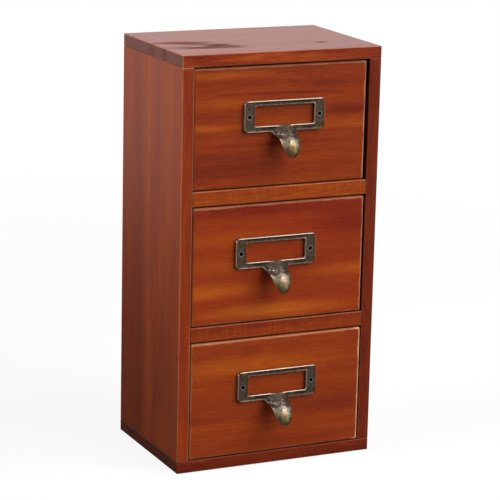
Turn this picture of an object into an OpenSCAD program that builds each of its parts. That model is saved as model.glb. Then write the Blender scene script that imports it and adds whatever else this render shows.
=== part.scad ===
// Three-drawer desk cabinet in stained wood, with a cast label-frame pull on each drawer.
// Millimetres. The cabinet stands on the plane z = 0, centred on the Z axis, and its front faces -Y.

/* [Cabinet] */
// Overall width of the cabinet
body_w = 130; // [100:1:200]
// Overall depth of the cabinet, front edges to back edges
body_d = 92; // [75:1:160]
// Overall height of the cabinet
body_h = 255; // [210:1:360]
// Thickness of the top, the bottom and the two sides
board_t = 7.5; // [6:0.5:12]
// Thickness of the two dividers between the drawers
divider_t = 9; // [6:0.5:12]
// Radius that eases every edge of the cabinet's boards
board_ease = 0.6; // [0.2:0.1:1.2]

/* [Back panel] */
// Thickness of the thin back panel
back_t = 3; // [2:0.5:5]
// Width of the rebate that the back panel lies in
rebate_w = 3.5; // [2.5:0.5:5]
// Clearance round the edges of the back panel
panel_fit = 0.2; // [0.1:0.05:0.5]

/* [Dowels and pins] */
// Diameter of the wooden dowels that join the cabinet's boards
dowel_d = 4; // [3:0.5:5]
// Depth of a dowel in the face of a board
dowel_face_depth = 4.5; // [3:0.5:5]
// Depth of a dowel in the end of a board
dowel_end_depth = 12; // [8:1:20]
// Distance from the front or back edge of a board to its first dowel
dowel_inset = 18; // [12:1:30]
// Diameter of the steel pins
pin_d = 1.2; // [0.8:0.1:1.8]
// Length of the steel pins, head included
pin_len = 13; // [10:0.5:18]
// Diameter of a pin's head
pin_head_d = 2; // [1.4:0.1:2.6]
// Thickness of a pin's head
pin_head_t = 0.6; // [0.4:0.1:1]

/* [Drawers] */
// Thickness of a drawer front
front_t = 8; // [7:0.5:12]
// Radius that eases the edges of a drawer front's face
front_ease = 1.6; // [0.4:0.1:2]
// Radius that eases the corners of a drawer front's outline
corner_ease = 1.8; // [0.4:0.1:3]
// Thickness of a drawer's sides and back
drawer_board_t = 6; // [4:0.5:8]
// Thickness of a drawer's plywood base
base_t = 3; // [2:0.5:4]
// Height of the base's groove above the lower edge of the drawer
groove_up = 4; // [3:0.5:8]
// Depth of the base's groove in the sides and the front
groove_depth = 3; // [2:0.5:3.5]
// Depth of the rebates in the front that take the ends of the sides
front_rebate = 4; // [3:0.5:5]
// How far the sides and the back stop below the top of the front
side_drop = 8; // [2:1:20]
// How far the sides stand in from the ends of the front
side_set = 0.4; // [0:0.1:1]

/* [Drawer clearances] */
// Mean gap at each end of a drawer front
side_gap = 0.6; // [0.4:0.1:1.5]
// Gap above a drawer front
top_gap = 1; // [0.6:0.1:2]
// Running gap under a drawer
run_gap = 0.3; // [0.2:0.1:0.6]
// Gap between the back panel and a drawer that is pushed right in
rear_gap = 0.4; // [0.2:0.1:1]
// How far a drawer that is pushed right in lies behind the cabinet's front edges
full_recess = 1.4; // [0:0.2:4]

/* [Pull frame] */
// Width of a pull's label frame
frame_w = 53.2; // [45:0.2:70]
// Height of a pull's label frame
frame_h = 19.2; // [16:0.2:26]
// Thickness of the frame's flat
frame_t = 1.9; // [1.6:0.1:3]
// Outer corner radius of the frame
frame_r = 2.8; // [1:0.1:4]
// Height of the bar above the label window
top_bar = 3.5; // [2.2:0.1:5]
// Height of the bar below the window
low_bar = 4; // [2.6:0.1:6]
// Width of the bars beside the window, which the screws go through
side_bar = 7.3; // [6.5:0.1:10]
// Corner radius of the window
window_r = 0.8; // [0.3:0.1:2]
// Width of the raised rims round the frame and the window
rim_w = 0.9; // [0.6:0.1:1.4]
// Height of the rims above the frame's flat
rim_h = 0.4; // [0.2:0.1:0.8]
// Depth of the card's pocket behind the window
pocket_depth = 0.8; // [0.5:0.1:1]
// Lap of the card behind each side of the window and below it
pocket_lap = 1.6; // [1:0.1:2]

/* [Pull tongue] */
// Width of the tongue's shoulder where it meets the window
tongue_arch_w = 5.6; // [4:0.2:10]
// Width of the tongue just below the frame
tongue_root_w = 14.6; // [12:0.2:22]
// Widening of the tongue where it runs out into the frame's lower edge
tongue_flare = 4; // [0:0.5:8]
// Width that the tongue tapers to, before its tip is rounded
tongue_tip_w = 9.2; // [5:0.2:14]
// Drop of the tip below the frame's lower edge
tongue_drop = 14; // [10:0.2:20]
// Reach of the tongue's edges in front of the frame
tongue_reach = 13; // [6:0.2:16]
// Thickness of the tongue
tongue_t = 2.4; // [1.6:0.1:3]
// Rise of the tongue's middle over its edges
tongue_crown = 2.4; // [1:0.1:3]
// Gap between the tongue's root and the wood behind it
tongue_clear = 0.1; // [0.05:0.05:0.5]

/* [Pull screws] */
// Diameter of a screw's shank
screw_d = 1.8; // [1.4:0.1:2.4]
// Diameter of a screw's countersunk head
screw_head_d = 3.4; // [2.6:0.1:4.4]
// Length of the screw in the drawer front
screw_bite = 5; // [4:0.5:6]
// Width of the cross slots in a screw's head
slot_w = 0.6; // [0.4:0.1:0.8]
// Length of the cross slots
slot_len = 1.9; // [1.4:0.1:2.4]
// Depth of the cross slots
slot_depth = 0.6; // [0.3:0.1:0.7]
// Clearance round the screw in the frame
screw_fit = 0.2; // [0.1:0.05:0.4]
// Height of the frame's centre above the middle of the drawer front
pull_rise = 6.8; // [3:0.2:10]

/* [Hidden] */
// Facets of the preview
$fn = 48;
// Overrun of a cut past a face
over = 1;

// Drawers from the top one down, and the pieces of each
DRAWERS = ["top_drawer", "middle_drawer", "bottom_drawer"];
PIECES = ["front", "left_side", "right_side", "back", "base", "pull", "pull_screws", "pins"];
// As the drawers stand: how far each lies behind the front edges, as a share of full_recess
stand_in = [1, 0.5, 0];
// As the drawers stand: sideways lean of each, as a share of side_gap
stand_lean = [-0.65, 0, 0];
// As the fronts were planed to fit: what each lost at its left and right end beyond the mean gap, or kept of it
front_planed = [[0.1, 0.4], [0, 0.1], [-0.3, -0.2]];
// As the hand-fitted pulls stand: how far each lies to the right of its place, and above it
pull_aside = [1.5, -2.8, 0];
pull_above = [-0.6, 0, -0.2];

// Heights of the pins at a drawer's corners, as shares of the height of its sides
corner_pin_shares = [0.3, 0.8];
// Spacing of the pins along a panel's edge, as a share of the space between its grooves or rebates
panel_pin_share = 1 / 3;

drawer_count = len(DRAWERS);
front_y = -body_d / 2;
opening_w = body_w - 2 * board_t;
inner_h = body_h - 2 * board_t;
panel_y = body_d / 2 - back_t;
bay_h = (inner_h - (drawer_count - 1) * divider_t) / drawer_count;
bay_pitch = bay_h + divider_t;

front_w = opening_w - 2 * side_gap;
front_h = bay_h - run_gap - top_gap;
drawer_len = panel_y - rear_gap - full_recess - front_y;
side_h = front_h - side_drop;
side_x = front_w / 2 - side_set - drawer_board_t;
inner_w = 2 * side_x;
back_y = drawer_len - drawer_board_t;
base_z = groove_up + base_t;

window_w = frame_w - 2 * side_bar;
window_h = frame_h - top_bar - low_bar;
window_low = -frame_h / 2 + low_bar;
window_z = window_low + window_h / 2;
screw_x = (frame_w - side_bar) / 2;
pull_z = front_h / 2 + pull_rise;

function bay_floor(i) = board_t + (drawer_count - 1 - i) * bay_pitch;
function divider_floor(i) = bay_floor(i) - divider_t;

// Shared shapes

// Rectangle from the origin with all four corners rounded
module round_rect(size, r) {
    translate([r, 0]) square([size.x - 2 * r, size.y]);
    translate([0, r]) square([size.x, size.y - 2 * r]);
    for (x = [r, size.x - r], y = [r, size.y - r]) translate([x, y]) circle(r);
}

// Rectangle centred on the origin with all four corners rounded
module centred_rect(w, h, r) {
    translate([-w / 2, -h / 2]) round_rect([w, h], r);
}

// Board from the origin with every edge eased
module board(size, r) {
    intersection() {
        linear_extrude(size.z) round_rect([size.x, size.y], r);
        translate([0, size.y, 0]) rotate([90, 0, 0]) linear_extrude(size.y) round_rect([size.x, size.z], r);
        rotate([90, 0, 90]) linear_extrude(size.x) round_rect([size.y, size.z], r);
    }
}

// Dowel with chamfered ends, from z = -back to z = front
module dowel(back, front) {
    chamfer = dowel_d / 8;
    rotate_extrude() polygon([
        [0, -back], [dowel_d / 2 - chamfer, -back], [dowel_d / 2, chamfer - back],
        [dowel_d / 2, front - chamfer], [dowel_d / 2 - chamfer, front], [0, front]
    ]);
}

// Pin driven along +Z, with the top of its flat head in the plane z = 0
module pin() {
    cylinder(d = pin_d, h = pin_len);
    cylinder(d = pin_head_d, h = pin_head_t);
}

// Extrudes an outline that is drawn in X and Z, from y = 0 forward to y = -t
module forward(t) {
    rotate([90, 0, 0]) linear_extrude(t) children();
}

// Places for what repeats

// Places dowels along the depth of a board
module along_depth() {
    for (y = [front_y + dowel_inset, panel_y - dowel_inset]) translate([0, y, 0]) children();
}

// Dowels that stand up from the bottom board and hang from the top board, into the ends of a side
module corner_dowels(side) {
    x = side * (body_w - board_t) / 2;
    along_depth() {
        translate([x, 0, board_t]) dowel(dowel_face_depth, dowel_end_depth);
        translate([x, 0, body_h - board_t]) dowel(dowel_end_depth, dowel_face_depth);
    }
}

// Dowels that lie in a side and in the ends of both dividers
module divider_dowels(side) {
    for (i = [0 : drawer_count - 2]) {
        along_depth() translate([side * opening_w / 2, 0, divider_floor(i) + divider_t / 2])
            rotate([0, side * 90, 0]) dowel(dowel_end_depth, dowel_face_depth);
    }
}

// Pins round the back panel, driven forward through the panel into the rebates
module panel_pins() {
    x_edge = (opening_w + rebate_w) / 2;
    z_edge = (inner_h + rebate_w) / 2;
    x_near = opening_w * panel_pin_share;
    z_near = inner_h * panel_pin_share;
    translate([0, body_d / 2, body_h / 2]) {
        for (x = [-x_edge, x_edge], z = [-z_near, 0, z_near]) translate([x, 0, z]) rotate([90, 0, 0]) pin();
        for (x = [-x_near, 0, x_near], z = [-z_edge, z_edge]) translate([x, 0, z]) rotate([90, 0, 0]) pin();
    }
}

// Pins of one drawer: through its sides into the front and the back, and up through its base
module drawer_pins() {
    outer_x = side_x + drawer_board_t;
    for (side = [-1, 1], y = [front_t - front_rebate / 2, drawer_len - drawer_board_t / 2]) {
        for (share = corner_pin_shares) {
            translate([side * outer_x, y, side_h * share]) rotate([0, -side * 90, 0]) pin();
        }
    }
    for (x = [-1, 0, 1]) {
        translate([x * inner_w * panel_pin_share, drawer_len - drawer_board_t / 2, groove_up]) pin();
    }
}

// Screws of one pull, as seen from the drawer front: heads flush with the frame's flat
module at_screws() {
    for (side = [-1, 1]) translate([side * screw_x, -frame_t, 0]) rotate([-90, 0, 0]) children();
}

// Screw blank, driven along +Z: countersunk head and shank, grown by a clearance
module screw_form(fit, length) {
    head_r = screw_head_d / 2 + fit;
    shank_r = screw_d / 2 + fit;
    cylinder(r = shank_r, h = length);
    cylinder(r1 = head_r, r2 = shank_r, h = head_r - shank_r);
}

// Moves a drawer's pieces from their own frame, lower front edge at the origin, to where the drawer stands
module in_bay(i) {
    y = front_y + stand_in[i] * full_recess;
    translate([stand_lean[i] * side_gap, y, bay_floor(i) + run_gap]) children();
}

// Moves a pull from its own frame, centre of its back at the origin, to its place on a drawer front
module on_front(i) {
    translate([pull_aside[i], 0, pull_z + pull_above[i]]) children();
}

// Cabinet

module top_board() {
    color("#8a4a34") difference() {
        translate([-body_w / 2, front_y, body_h - board_t]) board([body_w, body_d, board_t], board_ease);
        back_rebate();
        for (side = [-1, 1]) corner_dowels(side);
        panel_pins();
    }
}

module bottom_board() {
    color("#7a3a26") difference() {
        translate([-body_w / 2, front_y, 0]) board([body_w, body_d, board_t], board_ease);
        back_rebate();
        for (side = [-1, 1]) corner_dowels(side);
        panel_pins();
    }
}

module side_board(side) {
    color("#7c3c28") difference() {
        translate([side * (body_w - board_t) / 2 - board_t / 2, front_y, board_t])
            board([board_t, body_d, inner_h], board_ease);
        back_rebate();
        corner_dowels(side);
        divider_dowels(side);
        panel_pins();
    }
}

module divider(i) {
    color("#9a4a22") difference() {
        translate([-opening_w / 2, front_y, divider_floor(i)])
            board([opening_w, panel_y - front_y, divider_t], board_ease);
        for (side = [-1, 1]) divider_dowels(side);
    }
}

// The pocket that the rebates of the four outer boards make for the back panel
module back_rebate() {
    w = opening_w + 2 * rebate_w;
    h = inner_h + 2 * rebate_w;
    translate([-w / 2, panel_y, (body_h - h) / 2]) cube([w, back_t + over, h]);
}

module back_panel() {
    w = opening_w + 2 * (rebate_w - panel_fit);
    h = inner_h + 2 * (rebate_w - panel_fit);
    color("#a8683c") difference() {
        translate([-w / 2, panel_y, (body_h - h) / 2]) cube([w, back_t, h]);
        panel_pins();
    }
}

module carcass_dowels() {
    color("#d8b888") for (side = [-1, 1]) {
        corner_dowels(side);
        divider_dowels(side);
    }
}

module back_panel_pins() {
    color("#8a8a86") panel_pins();
}

// One drawer, in its own frame: x from its middle, y back from the face of its front, z from its lower edge

module drawer_front(i) {
    color("#9a4820") difference() {
        front_blank(front_planed[i][0], front_planed[i][1]);
        for (side = [-1, 1]) {
            translate([side > 0 ? side_x : -front_w / 2 - over, front_t - front_rebate, -over])
                cube([side_set + drawer_board_t + over, front_rebate + over, front_h + 2 * over]);
        }
        base_groove();
        drawer_pins();
        on_front(i) at_screws() screw_form(0, frame_t + screw_bite);
    }
}

// The front before its joints are cut: its ends planed, the edges of its face and its corners eased
module front_blank(left_planed, right_planed) {
    w = front_w - left_planed - right_planed;
    translate([left_planed - front_w / 2, 0, 0]) intersection() {
        linear_extrude(front_h) eased_end(w);
        rotate([90, 0, 90]) linear_extrude(w) rotate(90) mirror([0, 1]) eased_end(front_h);
        translate([0, front_t, 0]) forward(front_t) round_rect([w, front_h], corner_ease);
    }
}

// Section of the front across one of its sizes: square at the back, eased at both corners of the face
module eased_end(size) {
    translate([0, front_ease]) square([size, front_t - front_ease]);
    translate([front_ease, 0]) square([size - 2 * front_ease, front_t]);
    for (x = [front_ease, size - front_ease]) translate([x, front_ease]) circle(front_ease);
}

// Space of the groove that runs round inside the front and the sides
module base_groove() {
    w = inner_w + 2 * groove_depth;
    translate([-w / 2, front_t - groove_depth, groove_up]) cube([w, drawer_len, base_t]);
}

module drawer_side(side) {
    color("#a8683c") difference() {
        translate([side > 0 ? side_x : -side_x - drawer_board_t, front_t - front_rebate, 0])
            board([drawer_board_t, drawer_len - front_t + front_rebate, side_h], board_ease);
        base_groove();
        drawer_pins();
    }
}

module drawer_back() {
    color("#a8683c") difference() {
        translate([-side_x, back_y, base_z]) cube([inner_w, drawer_board_t, side_h - base_z]);
        drawer_pins();
    }
}

module drawer_base() {
    w = inner_w + 2 * (groove_depth - panel_fit);
    reach = groove_depth - panel_fit;
    color("#c89868") difference() {
        translate([-w / 2, front_t - reach, groove_up]) cube([w, drawer_len - front_t + reach, base_t]);
        drawer_pins();
    }
}

module drawer_pin_set() {
    color("#8a8a86") drawer_pins();
}

// Pull, one casting: label frame and finger tongue

module pull() {
    color("#6a6048") {
        difference() {
            union() {
                forward(frame_t) frame_outline();
                forward(frame_t + rim_h) outer_rim();
                forward(frame_t + rim_h) window_rim();
                tongue();
            }
            forward(2 * tongue_reach) window();
            card_pocket();
            at_screws() screw_form(screw_fit, frame_t + over);
        }
    }
}

module frame_outline() {
    centred_rect(frame_w, frame_h, frame_r);
}

module window() {
    translate([0, window_z]) centred_rect(window_w, window_h, window_r);
}

module outer_rim() {
    difference() {
        frame_outline();
        centred_rect(frame_w - 2 * rim_w, frame_h - 2 * rim_w, frame_r - rim_w);
    }
}

module window_rim() {
    translate([0, window_z]) centred_rect(window_w + 2 * rim_w, window_h + 2 * rim_w, window_r + rim_w);
}

// Shallow pocket in the back of the frame, open at the top, where a card slides in behind the window
module card_pocket() {
    w = window_w + 2 * pocket_lap;
    low = window_low - pocket_lap;
    translate([-w / 2, -pocket_depth, low]) cube([w, pocket_depth + over, frame_h]);
}

// Tongue: level sections lofted from the window's lower edge over the frame's lower bar, then out and down
// to a rounded tip. On the bar they make a solid shoulder, narrow at the window and widest at the lower edge.
// Below the bar the edges leave it and follow the middle, and the back turns hollow for a finger.
// A point of a section is found by its angle round a blunt lens, which the rise of the middle bends forward.
shoulder_rings = 6;
tongue_rings = 24;
tongue_points = 24;
tongue_blunt = 0.7;
// Shares of the way down the tongue: where its tip starts to round, and where its crown is full
tongue_round = 0.56;
tongue_full_crown = 0.5;
// Shares of the way down, counted from the frame's lower edge: where the flare ends, where the edges have
// left the bar, where the back is fully hollow, and where the crown is fully round
flare_run = 0.12;
leave_run = 0.18;
hollow_run = 0.2;
crown_run = 0.35;

tongue_top = window_low + rim_w / 2;
tongue_tip = -frame_h / 2 - tongue_drop;
tongue_back = -tongue_clear - tongue_t / 2;
bar_share = (tongue_top + frame_h / 2) / (tongue_top - tongue_tip);

function ease_in_out(u) = u * u * (3 - 2 * u);
function ramp(u, run) = ease_in_out(max(0, min(1, u / run)));
function blunt(v) = sign(v) * pow(abs(v), tongue_blunt);
// Share of the way down for ring k: even over the shoulder, then crowded at the frame and at the tip
function below_bar(k) = (1 - cos(180 * (k - shoulder_rings) / (tongue_rings - shoulder_rings))) / 2;
function ring_share(k) =
    k < shoulder_rings ? bar_share * k / shoulder_rings : bar_share + (1 - bar_share) * below_bar(k);
// Rounding of the tip: 1 along the tongue, falling to 0 at its end on an ellipse
function tip_share(u) =
    let (into_tip = max(0, u - tongue_round) / (1 - tongue_round))
    sqrt(max(0, 1 - into_tip * into_tip));
function flare_at(u) = tongue_flare * pow(max(0, 1 - (u - bar_share) / flare_run), 2);
function taper_w(u) = tongue_root_w + (tongue_tip_w - tongue_root_w) * (u - bar_share) / (1 - bar_share);
function shoulder_w(u) =
    tongue_arch_w + (tongue_root_w + tongue_flare - tongue_arch_w) * sin(90 * u / bar_share);
function tongue_w(u) = u < bar_share ? shoulder_w(u) : taper_w(u) * tip_share(u) + flare_at(u);
// Lines along the tongue: the reach of its edges once they are free, its edges, and the rise of its middle
function free_y(u) = tongue_back - tongue_reach * sin(90 * u);
function edge_y(u) = tongue_back + (free_y(u) - tongue_back) * ramp(u - bar_share, leave_run);
function rise_at(u) = edge_y(u) - free_y(u) + tongue_crown * ramp(u, tongue_full_crown) * tip_share(u);
function hollow_at(u) = ramp(u - bar_share, hollow_run);
// Power of that rise across a section: 2 gives the shoulder hollow flanks that run out on the bar, 1 a round crown
function flank_power(u) = 2 - ramp(u - bar_share, crown_run);
function tongue_point(u, a) =
    let (across = blunt(cos(a)), through = blunt(sin(a)))
    let (bend = rise_at(u) * pow(max(0, 1 - across * across), flank_power(u)) * (through > 0 ? 1 : hollow_at(u)))
    [
        tongue_w(u) / 2 * across,
        edge_y(u) - bend - tongue_t / 2 * tip_share(u) * through,
        tongue_top + (tongue_tip - tongue_top) * u
    ];

module tongue() {
    n = tongue_points;
    last = tongue_rings - 1;
    rings = [for (k = [0 : last]) for (j = [0 : n - 1]) tongue_point(ring_share(k), 360 * j / n)];
    apex = len(rings);
    points = concat(rings, [tongue_point(1, 0)]);
    root = [for (j = [0 : n - 1]) j];
    tip = [for (j = [0 : n - 1]) [last * n + (j + 1) % n, last * n + j, apex]];
    walls = [for (k = [0 : last - 1]) for (j = [0 : n - 1]) each [
        [k * n + j, (k + 1) * n + j, (k + 1) * n + (j + 1) % n],
        [k * n + j, (k + 1) * n + (j + 1) % n, k * n + (j + 1) % n]
    ]];
    polyhedron(points, concat([root], walls, tip));
}

module pull_screws() {
    color("#4a4438") at_screws() difference() {
        screw_form(0, frame_t + screw_bite);
        for (turn = [0, 90]) rotate(turn) translate([-slot_len / 2, -slot_w / 2, -over])
            cube([slot_len, slot_w, slot_depth + over]);
    }
}

top_board();
bottom_board();
side_board(-1);  // left_side
side_board(1);  // right_side
divider(0);  // upper_divider
divider(1);  // lower_divider
back_panel();
carcass_dowels();
back_panel_pins();
for (i = [0 : drawer_count - 1]) in_bay(i) {
    drawer_front(i);
    drawer_side(-1);
    drawer_side(1);
    drawer_back();
    drawer_base();
    on_front(i) pull();
    on_front(i) pull_screws();
    drawer_pin_set();
}
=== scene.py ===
"""Looks of a three-drawer desk cabinet in stained pine, with a cast antique-brass pull on each drawer."""
import math

import bpy
from mathutils import Matrix, Vector


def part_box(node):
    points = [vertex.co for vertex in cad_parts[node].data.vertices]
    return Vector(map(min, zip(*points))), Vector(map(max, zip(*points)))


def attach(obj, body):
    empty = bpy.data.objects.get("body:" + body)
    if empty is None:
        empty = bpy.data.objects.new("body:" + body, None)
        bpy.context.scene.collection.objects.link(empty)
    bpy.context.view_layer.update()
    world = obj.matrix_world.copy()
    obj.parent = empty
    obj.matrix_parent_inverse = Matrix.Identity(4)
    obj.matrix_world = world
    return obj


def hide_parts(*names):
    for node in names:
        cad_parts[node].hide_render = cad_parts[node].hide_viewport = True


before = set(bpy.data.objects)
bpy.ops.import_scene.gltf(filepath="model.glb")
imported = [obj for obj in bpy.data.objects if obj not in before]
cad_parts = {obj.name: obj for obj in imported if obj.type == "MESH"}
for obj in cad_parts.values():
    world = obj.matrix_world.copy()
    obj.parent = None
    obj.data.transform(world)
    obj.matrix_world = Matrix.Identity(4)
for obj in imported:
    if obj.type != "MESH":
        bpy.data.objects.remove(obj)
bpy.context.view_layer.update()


# Cabinet boards: pine, planed and butted together on blind dowels, wiped with a red-brown stain and given
# one thin coat of satin lacquer. Grain runs across in the flat boards and upright in the two sides, which
# are glued up from strips.
MM = 0.001
ALONG_X, ALONG_Y, ALONG_Z = 0, 1, 2
# Axes of a board's show face: to the right, and up as one looks at it or away if the board lies flat
FRONT_FACE, TOP_FACE, SIDE_FACE = (0, 2), (0, 1), (1, 2)
# Stain tones, from the dense late wood to the open early wood
STAIN_TONES = [(0.1, "#4e1508"), (0.34, "#76260b"), (0.52, "#8f360d"), (0.7, "#a4490f"), (0.92, "#bf6c22")]
SOAKED_END = [(0.3, "#2e0e06"), (0.7, "#642712")]
BARE_ARRIS = "#dca275"
# What the deeper stain on front edges, with painted shade over their sheen, leaves of the colour under it
MORE_RED = "#ffdaa9"
# Each board comes from another place in the log, and each glued strip from another log. These are in mm
BOARD_STEP, STRIP_STEP = Vector((41.0, 23.0, 67.0)), Vector((130.0, 170.0, 210.0))
PITH_OFF, RING_MM, RING_SWAY_MM = 60.0, 8.0, 14.0
# Rings between one board's place in the log and the next one's
RINGS_APART = 37.0
# Noise wanders about this mean
NOISE_MEAN = 0.5
# The Mix node has an output for each kind of value, and this is the place of the colour
MIXED_COLOUR = 2


def linear(code):
    """An sRGB hex colour as linear RGBA."""
    parts = [int(code[i:i + 2], 16) / 255 for i in (1, 3, 5)]
    return [p / 12.92 if p <= 0.04045 else ((p + 0.055) / 1.055) ** 2.4 for p in parts] + [1.0]


def add(tree, kind, inputs=None, out=0, stops=None, **settings):
    """Adds a shader node with its settings, values and links, and returns one output, or all for None."""
    node = tree.nodes.new("ShaderNode" + kind)
    for name, value in settings.items():
        setattr(node, name, value)
    for socket, value in (inputs or {}).items():
        if isinstance(value, bpy.types.NodeSocket):
            tree.links.new(value, node.inputs[socket])
        else:
            node.inputs[socket].default_value = value
    if stops:
        ramp = node.color_ramp.elements
        for place, code in stops[1:-1]:
            ramp.new(place).color = linear(code)
        ramp[0].position, ramp[0].color = stops[0][0], linear(stops[0][1])
        ramp[-1].position, ramp[-1].color = stops[-1][0], linear(stops[-1][1])
    return node.outputs if out is None else node.outputs[out]


def new_material(name):
    """An empty node material and its tree."""
    material = bpy.data.materials.new(name)
    material.use_nodes = True
    material.node_tree.nodes.clear()
    return material, material.node_tree


def finish_material(tree, shader):
    """Joins a shader to the material's output."""
    output = tree.nodes.new("ShaderNodeOutputMaterial")
    tree.links.new(shader, output.inputs["Surface"])


def dress(node, material):
    """Gives a CAD node one material all over."""
    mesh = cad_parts[node].data
    mesh.materials.clear()
    mesh.materials.append(material)


def in_piece(tree, node):
    """Coordinates in mm from the middle of a CAD node, and half the node's size in mm."""
    low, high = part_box(node)
    spot = add(tree, "TexCoord", out="Object")
    local = add(tree, "VectorMath", {0: spot, 1: (low + high) / 2}, operation="SUBTRACT")
    local = add(tree, "VectorMath", {0: local, "Scale": 1 / MM}, operation="SCALE")
    return local, (high - low) / 2 / MM


def drawn_out(tree, spot, axis, times):
    """Coordinates squeezed along an axis, so that a pattern on them is drawn out that many times."""
    squeeze = Vector((1.0, 1.0, 1.0))
    squeeze[axis] = 1 / times
    return add(tree, "VectorMath", {0: spot, 1: squeeze}, operation="MULTIPLY")


def stained_pine(node, grain, face, seed, name="stained_lacquered_pine", tones=STAIN_TONES, ends=SOAKED_END,
                 shade=0.0, contrast=1.0, fibre_mm=0.9, marks=(), seams=(), sawn=0.0, inner=None,
                 rubbed=(0.0, 0.0, 0.0, 0.0), ease_mm=0.6, red_edge=0.0, ior=1.22, rough=(0.4, 0.52)):
    """Stained pine for one board.

    The rings run round a pith that lies off the board, and the fibres, of the given width, are drawn out
    along the grain. A mark is a darker or lighter flame from one point of the show face to another, in mm
    from its lower left corner, with its reach and lift. A seam is a glue line at a distance across the face,
    with the change of tone beyond it. The inner faces, given by an axis and a sign or 0 for both, are
    darker:
    partly stain without lacquer and partly painted shade, as in the gaps round the drawers. The arrises at
    the left, right, lower and upper edge are rubbed through to bare wood by the given shares, and faces that
    look to the front are reddened by the share red_edge: partly a deeper stain and partly painted shade over
    the pale sheen on them.
    """
    across, up = face
    material, tree = new_material(name + "_" + node)
    local, half = in_piece(tree, node)
    place = add(tree, "SeparateXYZ", {0: local}, out=None)

    # Glued strips: each comes from another log
    log = add(tree, "VectorMath", {0: local, 1: BOARD_STEP * seed}, operation="ADD")
    tone = 0.5 + shade
    for seam, lift in seams:
        beyond = add(tree, "Math", {0: place[across], 1: seam - half[across]}, operation="GREATER_THAN")
        jump = add(tree, "VectorMath", {0: STRIP_STEP, "Scale": beyond}, operation="SCALE")
        log = add(tree, "VectorMath", {0: log, 1: jump}, operation="ADD")
        tone = add(tree, "Math", {0: beyond, 1: lift, 2: tone}, operation="MULTIPLY_ADD")

    # Fibres, short pores, clouds of uneven stain, and rings round a pith 85 mm off the board's middle. Real
    # fibres and pores are finer than this and wouldn't show
    drawn = drawn_out(tree, log, grain, 14)
    fibre = add(tree, "TexNoise", {"Vector": drawn, "Scale": 1 / fibre_mm, "Detail": 3.0, "Roughness": 0.7})
    short = drawn_out(tree, log, grain, 3)
    pores = add(tree, "TexNoise", {"Vector": short, "Scale": 1 / 0.8, "Detail": 2.0})
    broad = drawn_out(tree, log, grain, 5)
    cloud = add(tree, "TexNoise", {"Vector": broad, "Scale": 1 / 16.0, "Detail": 3.0, "Roughness": 0.55})
    sway = add(tree, "TexNoise", {"Vector": drawn, "Scale": 1 / 20.0, "Detail": 2.0, "Roughness": 0.5})
    pith = Vector((PITH_OFF, PITH_OFF, PITH_OFF))
    level = Vector((1.0, 1.0, 1.0))
    pith[grain] = level[grain] = 0.0
    from_pith = add(tree, "VectorMath", {0: local, 1: pith}, operation="SUBTRACT")
    from_pith = add(tree, "VectorMath", {0: from_pith, 1: level}, operation="MULTIPLY")
    radius = add(tree, "VectorMath", {0: from_pith}, operation="LENGTH", out="Value")
    radius = add(tree, "Math", {0: sway, 1: RING_SWAY_MM, 2: radius}, operation="MULTIPLY_ADD")
    radius = add(tree, "Math", {0: radius, 1: 1 / RING_MM, 2: RINGS_APART * seed}, operation="MULTIPLY_ADD")
    rings = add(tree, "TexNoise", {"W": radius, "Scale": 1.0, "Detail": 2.0, "Roughness": 0.5},
                noise_dimensions="1D")
    for pattern, weight in ((rings, 0.36), (cloud, 0.26), (fibre, 0.62), (pores, 0.24)):
        swing = add(tree, "Math", {0: pattern, 1: NOISE_MEAN}, operation="SUBTRACT")
        tone = add(tree, "Math", {0: swing, 1: weight * contrast, 2: tone}, operation="MULTIPLY_ADD")
    if sawn:
        # Saw marks stand upright across a narrow front edge, about a millimetre apart
        teeth = add(tree, "VectorMath", {0: log, 1: (1.0, 0.1, 0.12)}, operation="MULTIPLY")
        teeth = add(tree, "TexNoise", {"Vector": teeth, "Scale": 1 / 1.1, "Detail": 2.0, "Roughness": 0.6})
        teeth = add(tree, "Math", {0: teeth, 1: NOISE_MEAN}, operation="SUBTRACT")
        tone = add(tree, "Math", {0: teeth, 1: sawn, 2: tone}, operation="MULTIPLY_ADD")

    # Marks: long soft lenses that waver along the grain
    wave = add(tree, "TexNoise", {"Vector": drawn, "Scale": 1 / 6.0, "Detail": 4.0, "Roughness": 0.6},
               out="Color")
    wave = add(tree, "VectorMath", {0: wave, 1: (NOISE_MEAN, NOISE_MEAN, NOISE_MEAN)}, operation="SUBTRACT")
    waver = Vector((5.0, 5.0, 5.0))
    waver[grain] = 40.0
    wave = add(tree, "VectorMath", {0: wave, 1: waver, 2: local}, operation="MULTIPLY_ADD")
    dull = 0.0
    for x0, y0, x1, y1, reach, lift in marks:
        middle, run, off = Vector(), Vector(), Vector()
        middle[across], middle[up] = (x0 + x1) / 2 - half[across], (y0 + y1) / 2 - half[up]
        run[across], run[up] = x1 - x0, y1 - y0
        off[across], off[up] = y0 - y1, x1 - x0
        rel = add(tree, "VectorMath", {0: wave, 1: middle}, operation="SUBTRACT")
        along = add(tree, "VectorMath", {0: rel, 1: 2 * run / run.length_squared}, operation="DOT_PRODUCT",
                    out="Value")
        beside = add(tree, "VectorMath", {0: rel, 1: off / off.length / reach}, operation="DOT_PRODUCT",
                     out="Value")
        gap = add(tree, "CombineXYZ", {0: along, 1: beside})
        gap = add(tree, "VectorMath", {0: gap}, operation="LENGTH", out="Value")
        band = add(tree, "MapRange", {"Value": gap, "From Min": 1.0, "From Max": 0.0, "To Max": lift},
                   interpolation_type="SMOOTHERSTEP")
        tone = add(tree, "Math", {0: tone, 1: band}, operation="ADD")
        dull = add(tree, "Math", {0: band, 1: dull}, operation="MINIMUM")
    colour = add(tree, "ValToRGB", {0: tone}, stops=tones, out="Color")
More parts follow.
